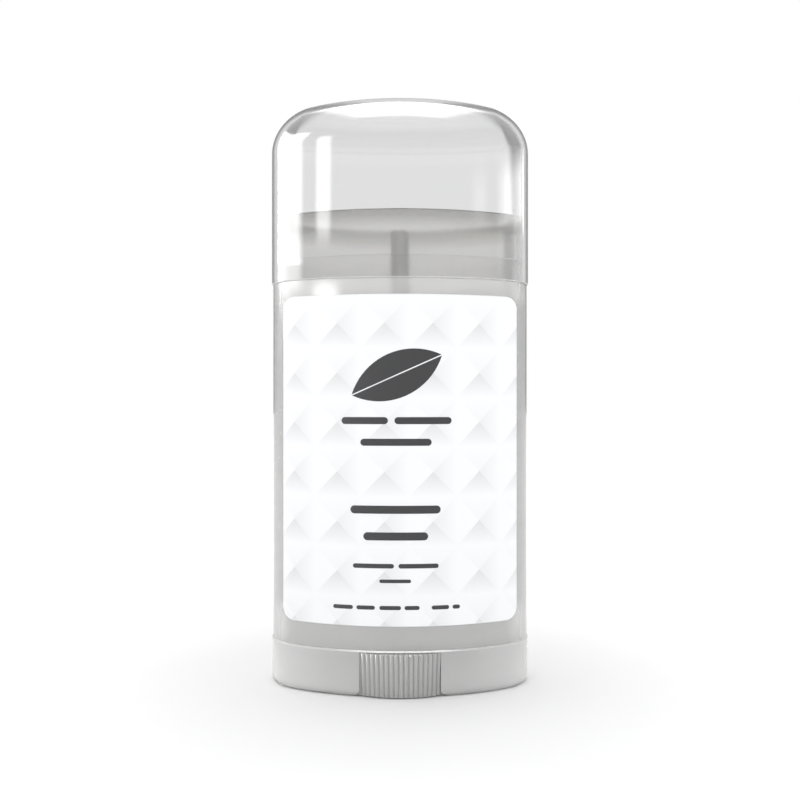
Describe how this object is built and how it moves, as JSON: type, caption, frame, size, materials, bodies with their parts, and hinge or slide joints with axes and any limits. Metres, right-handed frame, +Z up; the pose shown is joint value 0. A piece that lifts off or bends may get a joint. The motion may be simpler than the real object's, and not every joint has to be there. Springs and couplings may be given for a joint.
{
  "type": "deodorant stick",
  "caption": "Empty oval twist-up stick pack: clear domed overcap, frosted barrel with a front label, base, ribbed thumbwheel, spindle and elevator.",
  "frame": {"origin": "middle of the foot, on the surface the pack stands on", "axes": "+Z up through the cap, -Y towards the front label, +X to the right as seen from the front"},
  "size_m": [0.0546, 0.0336, 0.1219],
  "materials": {
    "clear_shell": "clear, polished",
    "frosted_shell": "natural, translucent, satin",
    "label_film": "white film, semi-gloss",
    "natural_moulding": "natural moulded, satin"
  },
  "bodies": {
    "barrel": {"barrel": "frosted_shell", "base": "natural_moulding", "front_label": "label_film"},
    "wheel": {"thumbwheel": "natural_moulding", "spindle": "natural_moulding"},
    "elevator": {"elevator": "natural_moulding"},
    "cap": {"overcap": "clear_shell"}
  },
  "joints": [
    {"name": "wheel_spin", "type": "hinge", "parent": "barrel", "child": "wheel", "pos_m": [0, 0, 0.009], "axis": [0, 0, -1], "range_deg": [0, 4680]},
    {"name": "elevator_slide", "type": "slide", "parent": "barrel", "child": "elevator", "axis": [0, 0, 1], "range_m": [0, 0.0651]},
    {"name": "cap_lift", "type": "slide", "parent": "barrel", "child": "cap", "axis": [0, 0, 1], "range_m": [0, 0.03]}
  ],
  "couplings": [
    {"joint": "elevator_slide", "follows": "wheel_spin", "m_per_rad": 0.00079577}
  ]
}
